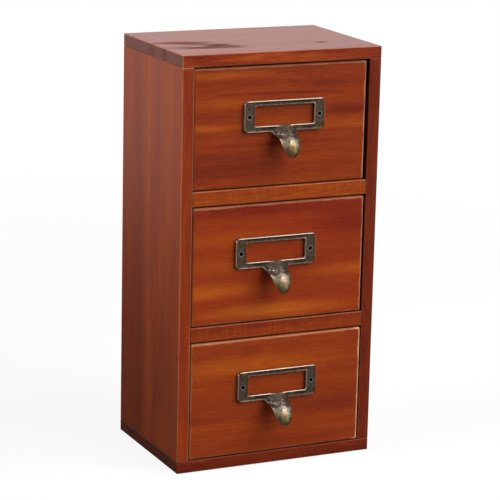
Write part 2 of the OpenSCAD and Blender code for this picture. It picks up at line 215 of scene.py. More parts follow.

    # End grain drinks the stain and is much darker. So are the inner faces, partly as stain without lacquer
    # and partly as painted shade, as in the gaps round the drawers
    facing = add(tree, "SeparateXYZ", {0: add(tree, "TexCoord", out="Normal")}, out=None)
    end = add(tree, "Math", {0: facing[grain]}, operation="ABSOLUTE")
    end = add(tree, "MapRange", {"Value": end, "From Min": 0.6, "From Max": 0.85, "To Max": 0.75})
    tubes = add(tree, "TexNoise", {"Vector": log, "Scale": 1 / 0.9, "Detail": 3.0, "Roughness": 0.7})
    soaked = add(tree, "ValToRGB", {0: tubes}, stops=ends, out="Color")
    colour = add(tree, "Mix", {"Factor": end, "A": colour, "B": soaked}, data_type="RGBA", out=MIXED_COLOUR)
    if inner:
        axis, sign = inner
        # Painted shade: faces that look inwards are darkened up to halfway to the darkest end-grain tone
        inward_stain_and_shade = add(tree, "Math", {0: facing[axis], 1: sign}, operation="MULTIPLY" if sign else "ABSOLUTE")
        inward_stain_and_shade = add(tree, "MapRange", {"Value": inward_stain_and_shade, "From Min": 0.5, "From Max": 0.9, "To Max": 0.5})
        colour = add(tree, "Mix", {"Factor": inward_stain_and_shade, "A": colour, "B": linear(ends[0][1])}, data_type="RGBA",
                     out=MIXED_COLOUR)
    if red_edge:
        # A narrow front edge drinks more of the red in the stain than the planed face beside it. The tint is
        # also painted shade, which dims the pale sheen of the lacquer on this face
        ahead = add(tree, "MapRange", {"Value": facing[ALONG_Y], "From Min": -0.5, "From Max": -0.9,
                                       "To Max": red_edge})
        colour = add(tree, "Mix", {"Factor": ahead, "A": colour, "B": linear(MORE_RED)}, data_type="RGBA",
                     blend_type="MULTIPLY", out=MIXED_COLOUR)

    # Rubbed arrises: the second smallest distance to the board's faces is the distance to its nearest edge
    inset = add(tree, "VectorMath", {0: local}, operation="ABSOLUTE")
    inset = add(tree, "VectorMath", {0: half, 1: inset}, operation="SUBTRACT")
    x, y, z = add(tree, "SeparateXYZ", {0: inset}, out=None)
    least = add(tree, "Math", {0: x, 1: y}, operation="MINIMUM")
    most = add(tree, "Math", {0: x, 1: y}, operation="MAXIMUM")
    edge = add(tree, "Math", {0: most, 1: z}, operation="MINIMUM")
    edge = add(tree, "Math", {0: edge, 1: least}, operation="MAXIMUM")
    bare = 0.0
    for axis, sign, amount in zip((across, across, up, up), (-1, 1, -1, 1), rubbed):
        close = add(tree, "MapRange", {"Value": place[axis], "From Min": sign * (half[axis] - 4 * ease_mm),
                                       "From Max": sign * (half[axis] - ease_mm), "To Max": amount})
        bare = add(tree, "Math", {0: close, 1: bare}, operation="MAXIMUM")
    chafe = add(tree, "TexNoise", {"Vector": log, "Scale": 1 / 8.0, "Detail": 5.0, "Roughness": 0.75})
    chafe = add(tree, "Math", {0: chafe, 1: NOISE_MEAN}, operation="SUBTRACT")
    edge = add(tree, "Math", {0: edge, 1: ease_mm}, operation="DIVIDE")
    ragged = add(tree, "Math", {0: chafe, 1: 1.6, 2: edge}, operation="MULTIPLY_ADD")
    wear = add(tree, "MapRange", {"Value": ragged, "From Min": 1.0, "From Max": 0.5},
               interpolation_type="SMOOTHSTEP")
    wear = add(tree, "Math", {0: wear, 1: bare}, operation="MULTIPLY")
    colour = add(tree, "Mix", {"Factor": wear, "A": colour, "B": linear(BARE_ARRIS)}, data_type="RGBA",
                 out=MIXED_COLOUR)

    # One thin wiped coat: hardly a reflection straight on, a soft sheen at a low angle, dull along the open
    # fibres, on dark flames and on end grain
    matt = add(tree, "MapRange", {"Value": fibre, "From Min": 0.3, "From Max": 0.7, "To Min": rough[0],
                                  "To Max": rough[1]})
    matt = add(tree, "Math", {0: dull, 1: -1.2, 2: matt}, operation="MULTIPLY_ADD")
    matt = add(tree, "Math", {0: end, 1: 0.15, 2: matt}, operation="MULTIPLY_ADD")
    relief = add(tree, "Bump", {"Height": fibre, "Strength": 0.25, "Distance": 0.05 * MM}, out="Normal")
    shader = add(tree, "BsdfPrincipled", {"Base Color": colour, "Roughness": matt, "IOR": ior,
                                          "Normal": relief})
    finish_material(tree, shader)
    return material


dress("top_board", stained_pine(
    "top_board", ALONG_X, TOP_FACE, seed=1, shade=-0.18, inner=(ALONG_Z, -1), ior=1.3, rough=(0.25, 0.36),
    rubbed=(0.25, 0.1, 0.25, 0.05), red_edge=0.6,
    marks=[(-12, 50, 44, 38, 7, -0.3), (-14, 30, 60, 18, 7, -0.28), (16, 46, 56, 13, 10, -0.34),
           (93, 24, 103, 24, 4, -0.3), (-110, -1.5, 170, -1.5, 2.5, 0.6)]))
dress("bottom_board", stained_pine(
    "bottom_board", ALONG_X, TOP_FACE, seed=2, shade=-0.28, inner=(ALONG_Z, 1),
    rubbed=(0.05, 0.05, 0.05, 0.0), ends=[(0.4, "#180b08"), (0.62, "#562b1a")]))
# The left side took the stain browner. It is seen at a low angle, so its fibres are drawn coarser still
BROWN_TONES = [(0.1, "#4e1905"), (0.34, "#762a04"), (0.52, "#8f3b06"), (0.7, "#a44f08"), (0.92, "#bf721b")]
dress("left_side", stained_pine(
    "left_side", ALONG_Z, SIDE_FACE, seed=3, tones=BROWN_TONES, shade=-0.07, contrast=0.8, fibre_mm=2.2,
    ior=1.29, seams=[(30, -0.01), (57, -0.06)], inner=(ALONG_X, 1), rubbed=(0.3, 0.05, 0.0, 0.0),
    red_edge=1.0,
    # Its two dark marks, low down, are painted shade: the side gets darker towards the floor
    marks=[(-1, -300, -1, 555, 4, 0.06), (76, -90, 76, 190, 40, -0.16), (28, -10, 28, 115, 26, -0.09)]))
dress("right_side", stained_pine(
    "right_side", ALONG_Z, SIDE_FACE, seed=4, shade=-0.22, seams=[(36, 0.06), (63, -0.06)],
    inner=(ALONG_X, -1), rubbed=(0.12, 0.05, 0.0, 0.0)))
dress("upper_divider", stained_pine(
    "upper_divider", ALONG_X, FRONT_FACE, seed=5, shade=0.09, sawn=0.3, inner=(ALONG_Z, 0),
    rubbed=(0.0, 0.0, 0.15, 0.2)))
dress("lower_divider", stained_pine(
    "lower_divider", ALONG_X, FRONT_FACE, seed=6, shade=-0.06, sawn=0.3, inner=(ALONG_Z, 0),
    rubbed=(0.0, 0.0, 0.15, 0.2)))


# Back panel: a sheet of three-ply plywood, wiped with thin stain and left without lacquer. It lies in
# rebates round the back of the cabinet and is held by small pins.
WASH_TONES = [(0.1, "#6f3d1f"), (0.34, "#8e5731"), (0.52, "#a56b40"), (0.7, "#b77e50"), (0.92, "#c99664")]
CORE_PLY, FACE_PLY = "#6a3d20", "#a87546"
# Each sheet comes from another place in the veneer, this many mm on
SHEET_STEP = Vector((53.0, 29.0, 71.0))


def washed_plywood(node, grain, thick, seed):
    """Plywood for one sheet: the knife peels round the log, so each ring is a broad wandering contour."""
    material, tree = new_material("washed_rotary_cut_plywood_" + node)
    local, half = in_piece(tree, node)
    sheet = add(tree, "VectorMath", {0: local, 1: SHEET_STEP * seed}, operation="ADD")
    broad = drawn_out(tree, sheet, grain, 4)
    swell = add(tree, "TexNoise", {"Vector": broad, "Scale": 1 / 32.0, "Detail": 2.0})
    rings = add(tree, "TexNoise", {"W": swell, "Scale": 22.0, "Detail": 2.0}, noise_dimensions="1D")
    drawn = drawn_out(tree, sheet, grain, 12)
    fibre = add(tree, "TexNoise", {"Vector": drawn, "Scale": 1 / 1.3, "Detail": 3.0})
    tone = 0.5
    for pattern, weight in ((rings, 0.4), (fibre, 0.4)):
        swing = add(tree, "Math", {0: pattern, 1: NOISE_MEAN}, operation="SUBTRACT")
        tone = add(tree, "Math", {0: swing, 1: weight, 2: tone}, operation="MULTIPLY_ADD")
    colour = add(tree, "ValToRGB", {0: tone}, stops=WASH_TONES, out="Color")

    # On the edges the three plies show, the core dark with its end grain outwards
    depth = add(tree, "SeparateXYZ", {0: local}, out=thick)
    depth = add(tree, "Math", {0: depth}, operation="ABSOLUTE")
    core = add(tree, "MapRange", {"Value": depth, "From Min": 0.38 * half[thick],
                                  "From Max": 0.3 * half[thick]})
    plies = add(tree, "Mix", {"Factor": core, "A": linear(FACE_PLY), "B": linear(CORE_PLY)},
                data_type="RGBA", out=MIXED_COLOUR)
    flat = add(tree, "SeparateXYZ", {0: add(tree, "TexCoord", out="Normal")}, out=thick)
    flat = add(tree, "Math", {0: flat}, operation="ABSOLUTE")
    flat = add(tree, "MapRange", {"Value": flat, "From Min": 0.4, "From Max": 0.7})
    colour = add(tree, "Mix", {"Factor": flat, "A": plies, "B": colour}, data_type="RGBA", out=MIXED_COLOUR)

    # Bare veneer is matt, with a slight tooth along the fibres
    matt = add(tree, "MapRange", {"Value": fibre, "From Min": 0.3, "From Max": 0.7, "To Min": 0.62,
                                  "To Max": 0.78})
    relief = add(tree, "Bump", {"Height": fibre, "Strength": 0.35, "Distance": 0.08 * MM}, out="Normal")
    shader = add(tree, "BsdfPrincipled", {"Base Color": colour, "Roughness": matt, "IOR": 1.4,
                                          "Normal": relief})
    finish_material(tree, shader)
    return material


dress("back_panel", washed_plywood("back_panel", ALONG_Z, ALONG_Y, seed=1))


# Dowels: short turned beech pegs with chamfered ends, glued blind into the boards. Beech is pale and even,
# with short darker flecks.
BEECH_TONES = [(0.34, "#a97d4e"), (0.46, "#cfac7a"), (0.7, "#dfc397")]
material, tree = new_material("turned_beech")
drawn = drawn_out(tree, in_piece(tree, "carcass_dowels")[0], ALONG_Z, 4)
flecks = add(tree, "TexNoise", {"Vector": drawn, "Scale": 1 / 0.7, "Detail": 2.0})
colour = add(tree, "ValToRGB", {0: flecks}, stops=BEECH_TONES, out="Color")
relief = add(tree, "Bump", {"Height": flecks, "Strength": 0.2, "Distance": 0.05 * MM}, out="Normal")
shader = add(tree, "BsdfPrincipled", {"Base Color": colour, "Roughness": 0.6, "IOR": 1.45, "Normal": relief})
finish_material(tree, shader)
dress("carcass_dowels", material)


# Pins: bright drawn-steel panel pins, driven flush. Their heads dull a little where the steel has begun to
# tarnish.
STEEL_TONES = [(0.35, "#6e675d"), (0.55, "#9c9993"), (0.75, "#b9b8b4")]
steel, tree = new_material("bright_drawn_steel")
spot = add(tree, "VectorMath", {0: add(tree, "TexCoord", out="Object"), "Scale": 1 / MM}, operation="SCALE")
tarnish = add(tree, "TexNoise", {"Vector": spot, "Scale": 1 / 0.9, "Detail": 4.0, "Roughness": 0.65})
colour = add(tree, "ValToRGB", {0: tarnish}, stops=STEEL_TONES, out="Color")
matt = add(tree, "MapRange", {"Value": tarnish, "From Min": 0.35, "From Max": 0.7, "To Min": 0.55,
                              "To Max": 0.3})
relief = add(tree, "Bump", {"Height": tarnish, "Strength": 0.2, "Distance": 0.05 * MM}, out="Normal")
shader = add(tree, "BsdfPrincipled", {"Base Color": colour, "Metallic": 1.0, "Roughness": matt,
                                      "Normal": relief})
finish_material(tree, shader)
dress("back_panel_pins", steel)


# Drawer fronts: thick pine boards with the grain across, rebated and pinned to the drawer's sides. Every
# edge is eased by hand and the stain is sanded through on the arrises, so that each front has a broken pale
# line round it.
DRAWERS = ["top_drawer", "middle_drawer", "bottom_drawer"]
FRONT_MARKS = {
    "top_drawer": [(-60, 70, 90, 66, 5, 0.22), (30, 62, 160, 60, 6, -0.1),
                   (-20, 56.5, 133, 54.5, 1.6, -0.16), (-60, 53, 90, 50, 4.5, 0.14),
                   (-50, 44, 60, 43, 6, -0.08), (60, 44, 150, 43, 7, -0.2), (-60, 38, 60, 36, 4, 0.26),
                   (50, 35, 160, 34, 4, 0.16), (-20, 26, 133, 25, 2.5, -0.14), (-60, 16, 80, 14, 14, -0.14)],
    "middle_drawer": [(-60, 69, 160, 68, 8, -0.12), (-40, 52, 80, 52, 8, 0.09),
                      (50, 56, 170, 56, 14, -0.17), (-60, 37, 80, 37, 9, 0.15), (-60, 20, 70, 21, 9, 0.22),
                      (50, 27, 170, 29, 7, 0.18), (-40, 7, 153, 6, 8, 0.28)],
    "bottom_drawer": [(-60, 56, 140, 56, 12, 0.2), (30, 28, 170, 26, 8, -0.14), (-60, 18, 70, 18, 6, 0.08),
                      (-30, 5, 150, 5, 8, -0.08)],
}
# The dense wood of the middle front took the stain redder
RED_TONES = [(0.1, "#4e1108"), (0.34, "#7a200a"), (0.52, "#92330d"), (0.7, "#a5480f"), (0.92, "#bf6a22")]
FRONT_TONES = {"top_drawer": STAIN_TONES, "middle_drawer": RED_TONES, "bottom_drawer": STAIN_TONES}
FRONT_CONTRAST = {"top_drawer": 0.72, "middle_drawer": 0.65, "bottom_drawer": 0.65}
FRONT_RUBBED = {"top_drawer": (0.12, 0.55, 0.2, 0.28), "middle_drawer": (0.12, 0.45, 0.25, 0.32),
                "bottom_drawer": (0.25, 1.0, 0.2, 0.3)}
for place, drawer in enumerate(DRAWERS):
    dress(drawer + "_front", stained_pine(
        drawer + "_front", ALONG_X, FRONT_FACE, seed=7 + place, tones=FRONT_TONES[drawer], ease_mm=1.6,
        contrast=FRONT_CONTRAST[drawer], marks=FRONT_MARKS[drawer], rubbed=FRONT_RUBBED[drawer]))


# Drawer boxes: thinner pine sides and backs with a wash of thin stain and no lacquer, and plywood bases in
# grooves, all pinned. They stay paler than the cabinet, and matt.
WASHED_END = [(0.3, "#54301a"), (0.7, "#7f4d2b")]
BOX_BOARDS = [("left_side", ALONG_Y, SIDE_FACE), ("right_side", ALONG_Y, SIDE_FACE),
              ("back", ALONG_X, FRONT_FACE)]
for place, drawer in enumerate(DRAWERS):
    for turn, (piece, grain, face) in enumerate(BOX_BOARDS):
        node = drawer + "_" + piece
        dress(node, stained_pine(
            node, grain, face, seed=11 + 3 * place + turn, name="thin_washed_pine", tones=WASH_TONES,
            ends=WASHED_END, rubbed=(0.0, 0.0, 0.0, 0.15), ior=1.4, rough=(0.6, 0.75)))
    dress(drawer + "_base", washed_plywood(drawer + "_base", ALONG_X, ALONG_Z, seed=2 + place))
    dress(drawer + "_pins", steel)


# Pulls: one-piece brass castings, tumbled, blackened and rubbed back, so that the rims and the finger
# tongue are pale and the flats stay dark. A label frame with a card pocket behind it carries the tongue on
# its lower bar, and two countersunk screws hold it to the drawer front. Sizes are in mm.
FRAME_W, FRAME_H, FRAME_T, FRAME_R = 53.2, 19.2, 1.9, 2.8
SIDE_BAR, TOP_BAR, LOW_BAR = 7.3, 3.5, 4.0
WINDOW_W, WINDOW_H = FRAME_W - 2 * SIDE_BAR, FRAME_H - TOP_BAR - LOW_BAR
WINDOW_Z = (LOW_BAR - TOP_BAR) / 2
WINDOW_R = 0.8
RIM_W, RIM_H = 0.9, 0.4
# Inset from the edge as a share of the rim's width, and height over the flat as a share of the rim's
RIM_SECTION = [(0.0, -2.0), (0.05, -0.9), (0.17, 0.0), (0.36, 0.65), (0.6, 0.95), (0.8, 0.9), (0.95, 0.55),
               (1.1, 0.1), (1.3, 0.0)]
POCKET_DEPTH, POCKET_LAP, POCKET_R = 0.8, 1.6, 0.3
SCREW_X, SINK_R, SHANK_R = (FRAME_W - SIDE_BAR) / 2, 1.9, 1.1
TONGUE_TOP = WINDOW_Z - WINDOW_H / 2 + RIM_W / 2
TONGUE_TIP = -FRAME_H / 2 - 14.0
TONGUE_ARCH_W, TONGUE_ROOT_W, TONGUE_TIP_W, TONGUE_FLARE = 5.6, 14.6, 9.2, 4.0
TONGUE_REACH, TONGUE_T, TONGUE_CROWN = 13.0, 2.4, 2.4
TONGUE_BACK = -0.1 - TONGUE_T / 2
# Shares of the tongue's height: the bar that it lies on, the rounding of its tip, and the runs over which
# its flare dies out, its edge leaves the bar, its crown rises, its flanks fill out and its back is hollowed
BAR_SHARE = (TONGUE_TOP + FRAME_H / 2) / (TONGUE_TOP - TONGUE_TIP)
TIP_START, TIP_RUN = 0.56, 0.44
FLARE_RUN, LEAVE_RUN, CROWN_RUN, FLANK_RUN, HOLLOW_RUN = 0.12, 0.18, 0.5, 0.35, 0.2
# Less than 1 makes the tongue's section blunter than an ellipse
SECTION_POWER = 0.7
# Depths at which the cores begin behind the casting and the window's core ends in front of it
CORE_BEHIND, CORE_FRONT = 1.0, -20.0
# Melting and smoothing the casting by this grain rounds its edges as tumbling does
CASTING_GRAIN = 0.2


def new_piece(name, points, faces):
    """A mesh object from points in mm."""
    mesh = bpy.data.meshes.new(name)
    mesh.from_pydata([Vector(p) * MM for p in points], [], faces)
    mesh.validate()
    piece = bpy.data.objects.new(name, mesh)
    bpy.context.scene.collection.objects.link(piece)
    return piece


def skin(rings, closed):
    """Quads between rings of equally many points, and from the last ring to the first if closed."""
    count = len(rings[0])
    faces = []
    for k in range(len(rings) if closed else len(rings) - 1):
        here, there = k * count, (k + 1) % len(rings) * count
        for j in range(count):
            beside = (j + 1) % count
            faces.append((here + j, here + beside, there + beside, there + j))
    return faces


def rounded_loop(w, h, r, z, y, corner_steps=8):
    """A rounded rectangle, upright and facing front, at depth y."""
    points = []
    for corner, (sx, sz) in enumerate(((1, 1), (-1, 1), (-1, -1), (1, -1))):
        for step in range(corner_steps + 1):
            turn = math.radians(90 * corner + 90 * step / corner_steps)
            x = sx * (w / 2 - r) + r * math.cos(turn)
            points.append((x, y, z + sz * (h / 2 - r) + r * math.sin(turn)))
    return points


def label_frame():
    """Frame with a low rim along its edge and another round its window, each worn round on its free side."""
    outer = [rounded_loop(FRAME_W, FRAME_H, FRAME_R, 0.0, 0.0)]
    inner = []
    for inset, height in RIM_SECTION:
        d = inset * RIM_W
        y = -FRAME_T - RIM_H * height
        outer.append(rounded_loop(FRAME_W - 2 * d, FRAME_H - 2 * d, FRAME_R - d, 0.0, y))
        inner.insert(0, rounded_loop(WINDOW_W + 2 * d, WINDOW_H + 2 * d, WINDOW_R + d, WINDOW_Z, y))
    inner.append(rounded_loop(WINDOW_W, WINDOW_H, WINDOW_R, WINDOW_Z, 0.0))
    rings = outer + inner
    return new_piece("pull_casting", [p for ring in rings for p in ring], skin(rings, closed=True))


def smooth_step(u, run):
    """Rises smoothly from 0 to 1 over a run."""
    t = max(0.0, min(1.0, u / run))
    return t * t * (3 - 2 * t)


def tongue_point(u, turn):
    """Point of the tongue a share u of the way down, at an angle round its blunt lens-shaped section."""
    wide, through = (math.copysign(abs(v) ** SECTION_POWER, v) for v in (math.cos(turn), math.sin(turn)))
    tip = math.sqrt(max(0.0, 1 - (max(0.0, u - TIP_START) / TIP_RUN) ** 2))
    below_bar = u - BAR_SHARE
    if below_bar < 0:
        spread = math.sin(math.pi / 2 * u / BAR_SHARE)
        width = TONGUE_ARCH_W + (TONGUE_ROOT_W + TONGUE_FLARE - TONGUE_ARCH_W) * spread
    else:
        taper = TONGUE_ROOT_W + (TONGUE_TIP_W - TONGUE_ROOT_W) * below_bar / (1 - BAR_SHARE)
        width = taper * tip + TONGUE_FLARE * max(0.0, 1 - below_bar / FLARE_RUN) ** 2
    free = TONGUE_BACK - TONGUE_REACH * math.sin(math.pi / 2 * u)
    edge = TONGUE_BACK + (free - TONGUE_BACK) * smooth_step(below_bar, LEAVE_RUN)
    rise = edge - free + TONGUE_CROWN * smooth_step(u, CROWN_RUN) * tip
    flank = max(0.0, 1 - wide * wide) ** (2 - smooth_step(below_bar, FLANK_RUN))
    bend = rise * flank * (1.0 if through > 0 else smooth_step(below_bar, HOLLOW_RUN))
    depth = edge - bend - TONGUE_T / 2 * tip * through
    return (width / 2 * wide, depth, TONGUE_TOP + (TONGUE_TIP - TONGUE_TOP) * u)


def finger_tongue(rings=56, count=48):
    """Tongue, lofted from level sections that crowd together towards the tip."""
    shares = [math.sin(math.pi / 2 * k / rings) for k in range(rings)]
    sections = [[tongue_point(u, 2 * math.pi * j / count) for j in range(count)] for u in shares]
    points = [p for section in sections for p in section] + [tongue_point(1.0, 0.0)]
    last = (rings - 1) * count
    faces = skin(sections, closed=False) + [tuple(range(count))[::-1]]
    faces += [(last + j, last + (j + 1) % count, len(points) - 1) for j in range(count)]
    return new_piece("pull_tongue", points, faces)


def prism(name, loops):
    """Closed solid between loops."""
    count = len(loops[0])
    last = (len(loops) - 1) * count
    faces = skin(loops, closed=False) + [tuple(range(count))[::-1], tuple(range(last, last + count))]
    return new_piece(name, [p for loop in loops for p in loop], faces)


def circle_loop(r, x, y, steps=32):
    """A circle, upright and facing front, at depth y."""
    turns = [2 * math.pi * k / steps for k in range(steps)]
    return [(x + r * math.cos(turn), y, r * math.sin(turn)) for turn in turns]


casting = label_frame()
tools = [("UNION", finger_tongue())]
window_loops = [rounded_loop(WINDOW_W, WINDOW_H, WINDOW_R, WINDOW_Z, y) for y in (CORE_BEHIND, CORE_FRONT)]
tools.append(("DIFFERENCE", prism("window_core", window_loops)))
pocket_w = WINDOW_W + 2 * POCKET_LAP
pocket_z = WINDOW_Z - WINDOW_H / 2 - POCKET_LAP + FRAME_H / 2
pocket_loops = [rounded_loop(pocket_w, FRAME_H, POCKET_R, pocket_z, y) for y in (CORE_BEHIND, -POCKET_DEPTH)]
tools.append(("DIFFERENCE", prism("pocket_core", pocket_loops)))
sink = [(SHANK_R, CORE_BEHIND), (SHANK_R, SINK_R - SHANK_R - FRAME_T), (SINK_R, -FRAME_T),
        (SINK_R, -2 * FRAME_T)]
for side in (-1, 1):
    tools.append(("DIFFERENCE", prism("screw_core", [circle_loop(r, side * SCREW_X, y) for r, y in sink])))
for operation, tool in tools:
    step = casting.modifiers.new(tool.name, "BOOLEAN")
    step.operation, step.object, step.solver = operation, tool, "EXACT"
melt = casting.modifiers.new("casting_skin", "REMESH")
melt.mode, melt.voxel_size = "VOXEL", CASTING_GRAIN * MM
melt.use_smooth_shade = True
tumbled = casting.modifiers.new("tumbled_edges", "SMOOTH")
tumbled.factor, tumbled.iterations = 0.5, 4
lighter = casting.modifiers.new("fewer_faces", "DECIMATE")
lighter.ratio = 0.35
bpy.context.view_layer.update()
finished = casting.evaluated_get(bpy.context.evaluated_depsgraph_get())
pull_mesh = bpy.data.meshes.new_from_object(finished)
pull_mesh.name = "pull"
for piece in [casting] + [tool for operation, tool in tools]:
    bpy.data.objects.remove(piece)

# Blackened brass is a dark grey-brown with a dull metal sheen. Tumbling and fingers rub the rims to a
# greyish pink, and the tongue to grey brass, brown near the tip. Painted light lies over this: the rims are
# palest at the upper left of the frame and at the lower right of its window, the tongue has a painted
# highlight halfway down and painted shade at its root, and its thin edge a painted reflection.
# The pale stops at 0.28 to 0.4 paint a highlight halfway down the tongue, and the dark stop at 0.16 is
# partly painted shade at its root
BRASS_TONES = [(0.0, "#554738"), (0.16, "#473d37"), (0.28, "#695e56"), (0.4, "#928675"), (0.5, "#837559"),
               (0.62, "#735f41"), (0.85, "#6f5a38"), (1.0, "#8d734f")]
BLACKENING, RUBBED_BRASS = "#2a2622", "#b29c8c"
# Depths between which the frame ends and the tongue begins, and the height at which the tongue's tones begin
FRAME_ENDS, TONGUE_BEGINS, TONES_BEGIN = -2.5, -3.2, -6.0


def outside(tree, spot, w, h, z):
    """Distance in mm from an upright rectangle that is centred over x = 0, less than 0 within it."""
    off = add(tree, "VectorMath", {0: spot, 1: (0.0, 0.0, z)}, operation="SUBTRACT")
    off = add(tree, "VectorMath", {0: off}, operation="ABSOLUTE")
    off = add(tree, "VectorMath", {0: off, 1: (w / 2, 0.0, h / 2)}, operation="SUBTRACT")
    off = add(tree, "SeparateXYZ", {0: off}, out=None)
    return add(tree, "Math", {0: off["X"], 1: off["Z"]}, operation="MAXIMUM")


material, tree = new_material("blackened_cast_brass_rubbed_back")
spot = add(tree, "VectorMath", {0: add(tree, "TexCoord", out="Object"), "Scale": 1 / MM}, operation="SCALE")
x, y, z = add(tree, "SeparateXYZ", {0: spot}, out=None)
wiped = drawn_out(tree, spot, ALONG_Z, 2)
grime = add(tree, "TexNoise", {"Vector": wiped, "Scale": 1 / 1.5, "Detail": 4.0, "Roughness": 0.65})
swing = add(tree, "Math", {0: grime, 1: NOISE_MEAN}, operation="SUBTRACT")

# Rims, rubbed pale, with painted light that fades towards one corner of each, and none on the tongue
painted_light_slant = add(tree, "VectorMath", {0: spot, 1: (1 / FRAME_W, 0.0, -1 / FRAME_H)}, operation="DOT_PRODUCT",
            out="Value")
within_frame = outside(tree, spot, FRAME_W, FRAME_H, 0.0)
within_frame = add(tree, "Math", {0: within_frame, 1: -1.0}, operation="MULTIPLY")
off_window = outside(tree, spot, WINDOW_W, WINDOW_H, WINDOW_Z)
rims = 0.0
for gap, least, most in ((within_frame, 0.9, 0.1), (off_window, -0.25, 0.1)):
    rim = add(tree, "MapRange", {"Value": gap, "From Min": 0.95 * RIM_W, "From Max": 0.55 * RIM_W})
    share = add(tree, "MapRange", {"Value": painted_light_slant, "From Min": least, "From Max": most, "To Min": 0.3,
                                   "To Max": 0.9})
    rim = add(tree, "Math", {0: rim, 1: share}, operation="MULTIPLY")
    rims = add(tree, "Math", {0: rim, 1: rims}, operation="MAXIMUM")
on_tongue = add(tree, "MapRange", {"Value": y, "From Min": FRAME_ENDS, "From Max": TONGUE_BEGINS})
off_tongue = add(tree, "Math", {0: 1.0, 1: on_tongue}, operation="SUBTRACT")
rims = add(tree, "Math", {0: rims, 1: off_tongue}, operation="MULTIPLY")
rims = add(tree, "Math", {0: swing, 1: 0.9, 2: rims}, operation="MULTIPLY_ADD")

# Tone down the tongue, from its root to its tip: dark at the root, partly patina and partly painted shade,
# palest halfway down, which is a painted highlight, and brown near the tip
down = add(tree, "MapRange", {"Value": z, "From Min": TONES_BEGIN, "From Max": TONGUE_TIP})
down = add(tree, "Math", {0: down, 1: on_tongue}, operation="MULTIPLY")
down = add(tree, "Math", {0: swing, 1: 0.5, 2: down}, operation="MULTIPLY_ADD")
colour = add(tree, "ValToRGB", {0: down}, stops=BRASS_TONES, out="Color")

# The rag that wiped it left the blackening in streaks, a few millimetres long. It couldn't reach between
# the rims of the two narrow bars, which stay black
drawn = drawn_out(tree, spot, ALONG_Z, 3)
streaks = add(tree, "TexNoise", {"Vector": drawn, "Scale": 1 / 1.5, "Detail": 3.0, "Roughness": 0.6})
streaks = add(tree, "MapRange", {"Value": streaks, "From Min": 0.46, "From Max": 0.64, "To Max": 0.7})
bars = add(tree, "Math", {0: x}, operation="ABSOLUTE")
bars = add(tree, "MapRange", {"Value": bars, "From Min": WINDOW_W / 2 + 2, "From Max": WINDOW_W / 2 - 2,
                              "To Max": 0.75})
bars = add(tree, "Math", {0: bars, 1: off_tongue}, operation="MULTIPLY")
streaks = add(tree, "Math", {0: streaks, 1: bars}, operation="MAXIMUM")
colour = add(tree, "Mix", {"Factor": streaks, "A": colour, "B": linear(BLACKENING)}, data_type="RGBA",
             out=MIXED_COLOUR)

# The tongue's thin edge faces sideways and down. Fingers rub it as bare as the rims, and the pale colour
# there is also a painted reflection
facing = add(tree, "SeparateXYZ", {0: add(tree, "TexCoord", out="Normal")}, out=None)
thin = add(tree, "Math", {0: facing["X"]}, operation="ABSOLUTE")
under = add(tree, "Math", {0: facing["Z"], 1: -1.0}, operation="MULTIPLY")
thin = add(tree, "Math", {0: thin, 1: under}, operation="MAXIMUM")
thin = add(tree, "MapRange", {"Value": thin, "From Min": 0.72, "From Max": 0.95, "To Max": 0.8})
thin = add(tree, "Math", {0: thin, 1: on_tongue}, operation="MULTIPLY")
# Rubbed wear, with the painted light on the rims and the painted reflection on the thin edge
rubbed = add(tree, "Math", {0: rims, 1: thin}, operation="MAXIMUM")
colour = add(tree, "Mix", {"Factor": rubbed, "A": colour, "B": linear(RUBBED_BRASS)}, data_type="RGBA",
             out=MIXED_COLOUR)

# Rubbed brass shines, a little less on the lower half of the tongue, and the skin of the casting is pitted
wear = add(tree, "Math", {0: rubbed, 1: down}, operation="MAXIMUM")
matt = add(tree, "MapRange", {"Value": wear, "From Min": 0.15, "From Max": 0.4, "To Min": 0.55,
                              "To Max": 0.35})
dull = add(tree, "MapRange", {"Value": down, "From Min": 0.45, "From Max": 0.65, "To Max": 0.18})
matt = add(tree, "Math", {0: matt, 1: dull}, operation="ADD")
pits = add(tree, "TexNoise", {"Vector": wiped, "Scale": 1 / 1.8, "Detail": 3.0, "Roughness": 0.55})
relief = add(tree, "Bump", {"Height": pits, "Strength": 0.7, "Distance": 0.4 * MM}, out="Normal")
shader = add(tree, "BsdfPrincipled", {"Base Color": colour, "Metallic": 1.0, "Roughness": matt,
                                      "Normal": relief})
finish_material(tree, shader)
pull_mesh.materials.clear()
pull_mesh.materials.append(material)
for drawer in DRAWERS:
    low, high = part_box(drawer + "_pull")
    pull = bpy.data.objects.new(drawer + "_cast_pull", pull_mesh)
    pull.location = ((low.x + high.x) / 2, high.y, high.z - FRAME_H / 2 * MM)
    bpy.context.scene.collection.objects.link(pull)
    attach(pull, drawer)
    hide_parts(drawer + "_pull")


# Pull screws: small countersunk cross-head brass screws, blackened with the pulls. The dark middle of each
# head is partly grime packed in the slots and partly painted shade of the cross recess, and the pale ring
# round it is partly rubbed brass and partly a painted highlight.
HEAD_TONES = [(0.0, "#0d0b0a"), (0.5, "#2c2824"), (1.0, "#8a8279")]
